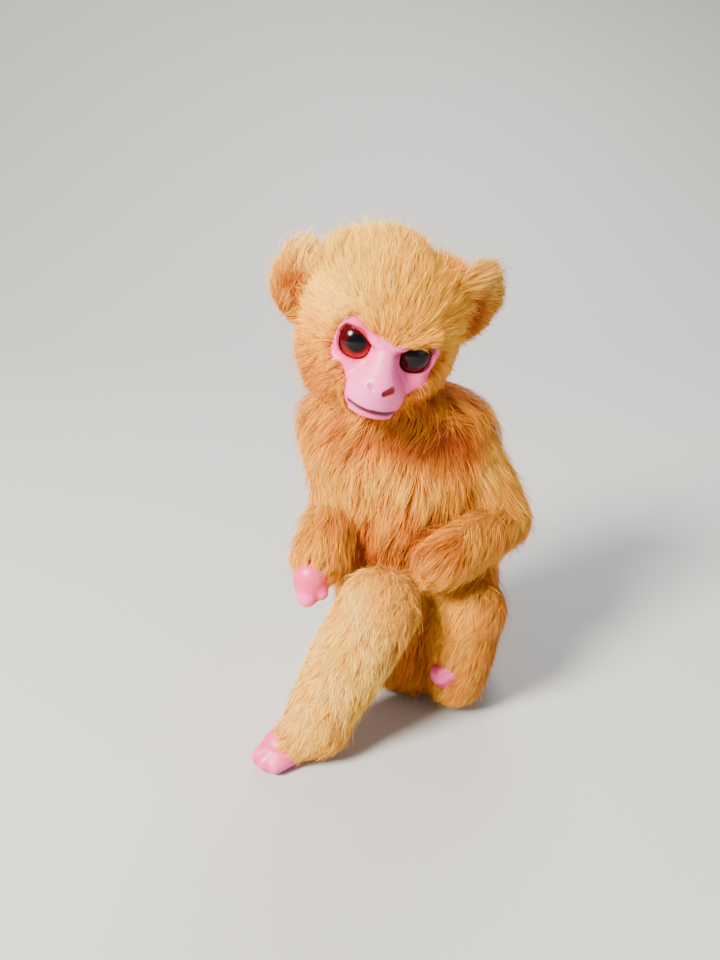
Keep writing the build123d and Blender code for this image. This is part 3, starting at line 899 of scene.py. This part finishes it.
# ---- ears ------------------------------------------------
# (place in the head's frame, turn about its z and its y in degrees, way the hair is swept)
EARS = {
    "right": ((-20.6, 3.4, 3.0), -48, -4, (3.0, 0.0, 8.0)),
    "left": ((17.8, -1.0, 10.4), 38, 18, (9.0, 0.0, 2.5)),
}
EAR_WIDTH, EAR_THICK, EAR_HEIGHT = 6.9, 1.7, 7.8
EAR_CUP = 0.022


def make_ear(side_word):
    at, spread, lean, sweep = EARS[side_word]
    turn = np.array(Matrix.Rotation(math.radians(spread), 3, "Z")
                    @ Matrix.Rotation(math.radians(lean), 3, "Y"))

    def shape(q):
        cupped = q.copy()
        cupped[:, 1] -= EAR_CUP * (q[:, 0] ** 2 + 0.6 * q[:, 2] ** 2) - 0.5
        return from_head(cupped @ turn.T + np.array(at))

    def local(p):
        return (to_head(p) - np.array(at)) @ turn

    form = egg_form(EAR_WIDTH, EAR_THICK, EAR_HEIGHT, 0.08, 15, shape, rows=40, cols=64)

    def colour(p):
        q = local(p)
        hollow = np.exp(-(q[:, 0] / 4.4) ** 2 - ((q[:, 2] + 2.0) / 4.6) ** 2) * ease(0.5, -0.5, q[:, 1])
        hollow = np.clip(1.5 * hollow, 0, 1)
        streak = streaks(q, 2.0, 51)
        top = ease(0, 6, q[:, 2])
        root = mix(mix(GOLD, PALE, 0.7 * top), RUST, hollow)
        return root, mix(mix(mix(CREAM, WHEAT, streak), BUTTER, 0.8 * top), ORANGE, 0.9 * hollow)

    def flow(p, n):
        way = local(p) * [0.9, 0, 1.0] + np.array(sweep)
        return (way @ turn.T) @ HEAD.T

    def length(p):
        q = local(p)
        edge = ease(0.35, 0.95, np.hypot(q[:, 0] / EAR_WIDTH, q[:, 2] / EAR_HEIGHT))
        return 2.4 + 4.6 * edge + 1.5 * edge * ease(0, 5, q[:, 2])

    form.hide(f"{side_word}_ear_hide", colour, "head", "head_fur")
    grow(f"{side_word}_ear_coat", form, 9000, flow, length, colour, "head", "head_fur",
         f"{side_word}_ear_pelt", seed=60 + len(side_word), lift=(0.25, 0.1), width=0.13, clump=0.28,
         jitter=0.34, wisp=0.12)


for side_word in EARS:
    make_ear(side_word)

# ---- face ------------------------------------------------
EYE_X, EYE_Y, EYE_Z, EYE_R = 6.2, -12.2, -1.9, 4.5
EYES = {"right": np.array([-EYE_X, EYE_Y, EYE_Z]), "left": np.array([EYE_X, EYE_Y, EYE_Z])}
EYE_OUT = math.radians(6)  # each eye looks this far outwards
FORWARD = np.array([0.0, -1.0, 0.0])
MUZZLE, MUZZLE_RADII = (0.0, -14.8, -11.6), (6.9, 7.0, 5.9)


def muzzle_front(x, z, out=0.0):
    """A point on the front of the muzzle, or out millimetres before it."""
    deep = max(1 - (x / MUZZLE_RADII[0]) ** 2 - ((z - MUZZLE[2]) / MUZZLE_RADII[2]) ** 2, 0.0)
    return (x, MUZZLE[1] - MUZZLE_RADII[1] * math.sqrt(deep) - out, z)


def mouth_height(x):
    """The mouth turns up a little at both ends, more on its right."""
    return -14.7 + 0.022 * x * x - 0.03 * x


MOUTH = [muzzle_front(x, mouth_height(x)) for x in np.linspace(-5.2, 5.2, 13)]
WIDE_MOUTH = MOUTH[6:12]  # it gapes more on this stretch
LOWER_LIP = [muzzle_front(x, mouth_height(x) - 0.95, -0.35) for x in np.linspace(-4.2, 4.2, 9)]
NOSTRILS = [
    ((1.3, -22.3, -9.7), (2.9, -21.6, -8.7), 0.5, 0.62, CRIMSON),
    ((-1.6, -22.4, -9.2), (-2.2, -22.1, -8.7), 0.4, 0.45, MAUVE)]
BROWS = [((s * 1.2, -17.0, -1.3), (s * 9.4, -14.3, 2.7), 1.1, 1.2) for s in (-1, 1)]


def chain_field(p, points, radius):
    """Distance outside a round rod of that radius through the points."""
    return np.min([rod_field(p, a, b, radius, radius) for a, b in zip(points[:-1], points[1:])], axis=0)


def face_field(p):
    """Head with muzzle, bridge, nose, cheeks, brows, lids and lower lip; sockets, mouth and nostrils cut."""
    field = egg_field(p, (0, 0, 0), (16.5, 16.3, 19.0))
    field = joined(field, egg_field(p, MUZZLE, MUZZLE_RADII), 2.2)
    field = joined(field, rod_field(p, (0, -15.6, 0.0), (0, -18.2, -8.0), 1.7, 3.6), 2.2)
    field = joined(field, egg_field(p, (0, -19.6, -9.6), (3.9, 2.9, 2.5)), 1.2)
    for side in (-1, 1):
        field = joined(field, egg_field(p, (side * 7.6, -11.6, -7.6), (4.2, 3.8, 3.4)), 2.0)
    for brow in BROWS:
        field = joined(field, rod_field(p, *brow), 0.6)
    for centre in EYES.values():
        field = joined(field, ring_field(p, centre + FORWARD * 1.9, FORWARD, 4.65, 0.5), 0.9)
        field = carved(field, np.linalg.norm(p - centre, axis=-1) - (EYE_R + 0.12), 0.25)
    field = joined(field, chain_field(p, LOWER_LIP, 0.75), 0.5)
    field = carved(field, chain_field(p, MOUTH, 0.40), 0.3)
    field = carved(field, chain_field(p, WIDE_MOUTH, 0.58), 0.3)
    for nostril in NOSTRILS:
        field = carved(field, rod_field(p, *nostril[:4]), 0.5)
    return field


def face_colour(p):
    """Pink paint with a painted highlight on the bridge and muzzle, painted shade round the eyes, in the left
    eye's inner corner and under the brows, and deep red in the nostrils and mouth.
    """
    # painted highlight: paler pink on the bridge and the front of the muzzle
    high = np.clip(blob(p, (0, -19, -7), (5, 6, 7)) + blob(p, (-2, -21, -12), (5, 5, 3)), 0, 1)
    colour = mix(PINK, PINK_PALE, 0.75 * high)
    # painted shade round each eye: deep pink in the socket, crimson at the eye's edge, reaching wider under
    # the upper lid
    for centre in EYES.values():
        rim = np.linalg.norm(p - centre, axis=1) - EYE_R
        upper = ease(-0.5, 2.5, p[:, 2] - centre[2])
        colour = mix(colour, PINK_DEEP, 0.7 * ease(1.3, 0.3, rim))
        colour = mix(colour, CRIMSON, 0.6 * ease(1.6, 0.4, rim) * upper)
        colour = mix(colour, CRIMSON, ease(0.5, 0.15, rim - 0.6 * upper))
    # painted shade in the groove at the inner corner of the left eye
    colour = mix(colour, CRIMSON, 0.8 * blob(p, (2.6, -16.0, -2.0), (0.9, 3, 0.9)))
    # painted shade in the crease under each brow
    for side in (-1, 1):
        under_brow = rod_field(p, (side * 1.6, -17.2, -2.6), (side * 9.0, -14.5, 1.2), 0.1, 0.1)
        colour = mix(colour, PINK_DEEP, 0.6 * ease(0.8, 0.1, under_brow))
    colour = mix(colour, PINK_DEEP, 0.55 * ease(1.0, 0.2, chain_field(p, MOUTH, 0.3)))
    colour = mix(colour, MAROON, ease(0.3, 0.05, chain_field(p, MOUTH, 0.34)))
    colour = mix(colour, MAROON, ease(0.3, 0.05, chain_field(p, WIDE_MOUTH, 0.5)))
    for *nostril, deep in NOSTRILS:
        colour = mix(colour, deep, ease(0.5, 0.05, rod_field(p, *nostril)))
    return colour


FACE_RIM = 3.2  # how far the shell goes on under the coat


def make_face():
    """The face's shell, cast outwards on a grid of rays, and the short hair round its edge."""
    origin = np.array([0, -4.0, -7.0])
    across = np.radians(np.linspace(-80, 80, 260))
    up = np.radians(np.linspace(-62, 62, 250))
    a, b = np.meshgrid(across, up)
    rays = np.stack([np.sin(a) * np.cos(b), -np.cos(a) * np.cos(b), np.sin(b)], -1)
    q = surface_along(face_field, origin, rays, near=4.0, far=22.0)
    rows, cols = a.shape
    flat = q.reshape(-1, 3)
    wanted = inside_face(flat) > -FACE_RIM
    faces = grid_faces(rows, cols, wrap=False)
    faces = faces[wanted[faces].all(1)]
    used = np.unique(faces)
    renumber = np.zeros(len(flat), int)
    renumber[used] = np.arange(len(used))
    obj = make_mesh("face", from_head(flat[used]), renumber[faces], face_colour(flat[used]))
    shell = obj.modifiers.new("shell", "SOLIDIFY")
    shell.thickness = 0.5 * MM
    shell.offset = -1.0
    finish_piece(obj, MATERIALS["pink"], "head", "pink_skin", "face_mask")

    def fringe(p):
        q = to_head(p)
        depth = inside_face(q)
        return np.where((depth < 0.1) & (depth > -FACE_RIM) & (q[:, 1] < -6), 1.0, 0.0)

    def length(p):
        return 3.0 + 1.6 * ease(0, 3, -inside_face(to_head(p)))

    rim = OpenForm(from_head(flat).reshape(rows, cols, 3), from_head(origin))
    grow("face_fringe", rim, 12000, head_flow, length, head_colour, "head", "head_fur", seed=8,
         density=fringe, lift=(0.6, 0.1), width=0.12, clump=0.3, lock_mm=1.0, wisp=0.08)


make_face()

# ---- eyes ------------------------------------------------
# the third colour is the painted light on the ring's side away from the lamp
EYE_DARK, EYE_RED, EYE_PAINTED_LIGHT = srgb(38, 1, 5), srgb(62, 1, 6), srgb(150, 10, 8)
PUPIL = srgb(8, 7, 8)
PUPIL_EDGE = (25, 27.5)  # degrees from the eye's axis where one colour gives way to the next
PAINTED_LIGHT_EDGE = (26, 42)
DARK_EDGE = (50, 58)
EYE_ROWS, EYE_COLS = 90, 96


def make_eye(side_word, painted_light):
    """Eyeball. The second argument is how much painted light its ring gets on the side away from the lamp;
    the less it gets, the darker the whole ring is painted, as painted shade.
    """
    side = {"right": -1, "left": 1}[side_word]
    centre = EYES[side_word]
    look = np.array([side * math.sin(EYE_OUT), -math.cos(EYE_OUT), 0])
    across = np.cross(look, UP)
    a = np.linspace(0.004, math.pi - 0.004, EYE_ROWS)[:, None]
    b = np.linspace(0, 2 * math.pi, EYE_COLS, endpoint=False)[None, :]
    rays = (np.cos(a)[..., None] * look + (np.sin(a) * np.cos(b))[..., None] * across
            + (np.sin(a) * np.sin(b))[..., None] * UP).reshape(-1, 3)
    angle = np.degrees(np.arccos(np.clip(rays @ look, -1, 1)))
    # painted light on the ring's lower side, away from the lamp; with less of it the whole ring is painted
    # darker, as painted shade
    lower = 0.5 + 0.5 * unit(rays - look * (rays @ look)[:, None]) @ unit(across * -0.45 - UP)
    lit = painted_light * ease(0.45, 0.95, lower) * ease(*PAINTED_LIGHT_EDGE, angle)
    ring = mix(EYE_RED * (0.3 + 0.7 * painted_light), EYE_PAINTED_LIGHT, lit)
    colour = mix(PUPIL, ring, ease(*PUPIL_EDGE, angle))
    colour = mix(colour, EYE_DARK, ease(*DARK_EDGE, angle))
    obj = make_mesh(f"{side_word}_eye", from_head(centre + rays * (EYE_R + 0.02)),
                    grid_faces(EYE_ROWS, EYE_COLS), colour)
    close_ends(obj)
    finish_piece(obj, MATERIALS["eye"], "head", "eye_glass", f"{side_word}_eye_dome")


# the right eye's ring gets full painted light; the left eye's ring, in shade, is painted dark
make_eye("right", 1.0)
make_eye("left", 0.12)


# ---- hands and feet --------------------------------------
def lobes(name, body, node, chains):
    """Pink hand or foot: palm, thumb and toes run together, with painted shade in the grooves between them.
    Chains are in millimetres.
    """
    metres = [([c * MM for c in start], [c * MM for c in end], r_start * MM, r_end * MM)
              for start, end, r_start, r_end in chains]
    mesh = fused(name, metres)
    verts = np.array([v.co for v in mesh.vertices]) / MM
    tips = np.array([c[1] for c in chains])
    reach = np.min(np.linalg.norm(verts[:, None] - tips[None], axis=2), axis=1)
    # painted shade in the grooves: deep pink where two lobes meet
    gap = ease(0.3, 1.6, field_spread(verts, chains))
    colour = mix(PINK, PINK_PALE, 0.4 * ease(8.0, 0.0, reach))
    colour = mix(PINK_DEEP, colour, 0.35 + 0.65 * gap)
    add_tint(mesh, colour)
    mesh.shade_smooth()
    finish_piece(new_object(name, mesh), MATERIALS["pink"], body, "pink_skin", node)


def field_spread(p, chains):
    """How much nearer the closest lobe is than the next one: small in the grooves."""
    fields = np.sort([rod_field(p, *c) for c in chains], axis=0)
    return fields[1] - fields[0]


lobes("right_hand_pink", "right_forearm", "right_hand", [
    ((-22.2, -13.5, 44.5), (-23.6, -17.4, 42.2), 4.0, 4.5),
    ((-23.8, -17.6, 42.0), (-24.6, -20.0, 38.2), 4.3, 2.7),
    ((-22.4, -17.6, 41.8), (-21.4, -19.6, 39.0), 3.0, 2.0)])
lobes("left_hand_pink", "left_forearm", "left_hand", [
    ((11.5, -17.2, 48.0), (8.0, -19.4, 47.2), 2.4, 2.4),
    ((8.0, -19.4, 47.2), (6.0, -20.6, 46.6), 2.3, 1.9),
    ((8.8, -19.4, 46.6), (7.4, -20.0, 45.2), 1.7, 1.3)])
lobes("right_foot_pink", "right_shin", "right_foot", [
    ((-24.0, -30.2, 5.2), (-31.0, -32.6, 4.6), 4.8, 4.4),
    ((-30.6, -32.4, 4.5), (-35.4, -34.4, 3.0), 4.2, 2.5),
    ((-29.8, -32.8, 4.3), (-34.2, -36.0, 2.8), 4.1, 2.3),
    ((-28.6, -33.2, 4.2), (-32.0, -37.0, 2.7), 3.8, 2.2)])
lobes("left_foot_pink", "left_shin", "left_foot", [
    ((12.4, -12.0, 8.4), (10.4, -14.0, 12.0), 4.0, 3.8),
    ((8.6, -15.8, 13.4), (11.6, -15.8, 15.0), 2.9, 2.7)])


# ---- the CAD nodes that stay in sight or inside ----------
def node_slot(name):
    if name.endswith("_pin"):
        return "steel_pin"
    if name == "seat_plate":
        return "seat_card"
    if name.endswith("_iris"):
        return "eye_amber"
    if name.endswith(("_eye_back", "_pupil")):
        return "eye_black"
    return "moulded_core"


for name, node in frame["nodes"].items():
    node.data.materials.clear()
    node.data.materials.append(MATERIALS[node_slot(name)])


# ---- floor, light and camera -----------------------------
def make_stage():
    """Pale floor that curves up into a backdrop, in metres."""
    front, back, sweep, half_width, top = -1.2, 0.35, 0.5, 2.0, 1.6
    profile = [(front, 0.0), (back, 0.0)]
    profile += [(back + sweep * math.sin(a), sweep - sweep * math.cos(a))
                for a in np.linspace(0.1, math.pi / 2, 16)]
    profile += [(back + sweep, top)]
    verts = [(x, y, z) for y, z in profile for x in (-half_width, half_width)]
    faces = [(2 * n, 2 * n + 1, 2 * n + 3, 2 * n + 2) for n in range(len(profile) - 1)]
    mesh = bpy.data.meshes.new("studio_floor")
    mesh.from_pydata(verts, [], faces)
    mesh.shade_smooth()
    mesh.materials.append(Material("studio_paper", Base_Color=(0.52, 0.52, 0.51, 1), Roughness=0.9).made)
    new_object("studio_floor", mesh)


def aimed(name, data, place, aim):
    """Lamp or camera at a place, turned towards aim."""
    obj = new_object(name, data)
    obj.location = place
    obj.rotation_euler = (Vector(aim) - Vector(place)).to_track_quat("-Z", "Y").to_euler()
    return obj


def soft_light(name, place, aim, size, power, colour=(1, 1, 1)):
    data = bpy.data.lights.new(name, "AREA")
    data.shape = "DISK"
    data.size = size
    data.energy = power
    data.color = colour
    aimed(name, data, place, aim)


CAMERA_AIM = Vector((-0.012, 0.0, 0.060))
CAMERA_TILT = math.radians(22)
CAMERA_AWAY = 0.220


def make_camera():
    data = bpy.data.cameras.new("camera")
    data.lens = 33
    data.sensor_width = 36
    data.clip_start = 0.01
    place = CAMERA_AIM + CAMERA_AWAY * Vector((0, -math.cos(CAMERA_TILT), math.sin(CAMERA_TILT)))
    bpy.context.scene.camera = aimed("camera", data, place, CAMERA_AIM)


def make_world():
    world = bpy.data.worlds.new("studio")
    world.use_nodes = True
    background = world.node_tree.nodes["Background"]
    background.inputs["Color"].default_value = (0.8, 0.82, 0.85, 1)
    background.inputs["Strength"].default_value = 0.36
    bpy.context.scene.world = world


make_stage()
soft_light("key", (-0.45, -0.42, 0.55), (0, 0, 0.06), 0.26, 23.5, (1.0, 0.94, 0.84))
soft_light("fill", (0.60, -0.40, 0.30), (0, 0, 0.06), 0.60, 1.2, (0.93, 0.96, 1.0))
soft_light("rim", (0.10, 0.50, 0.60), (0, 0, 0.07), 0.35, 5.0)
make_world()
make_camera()
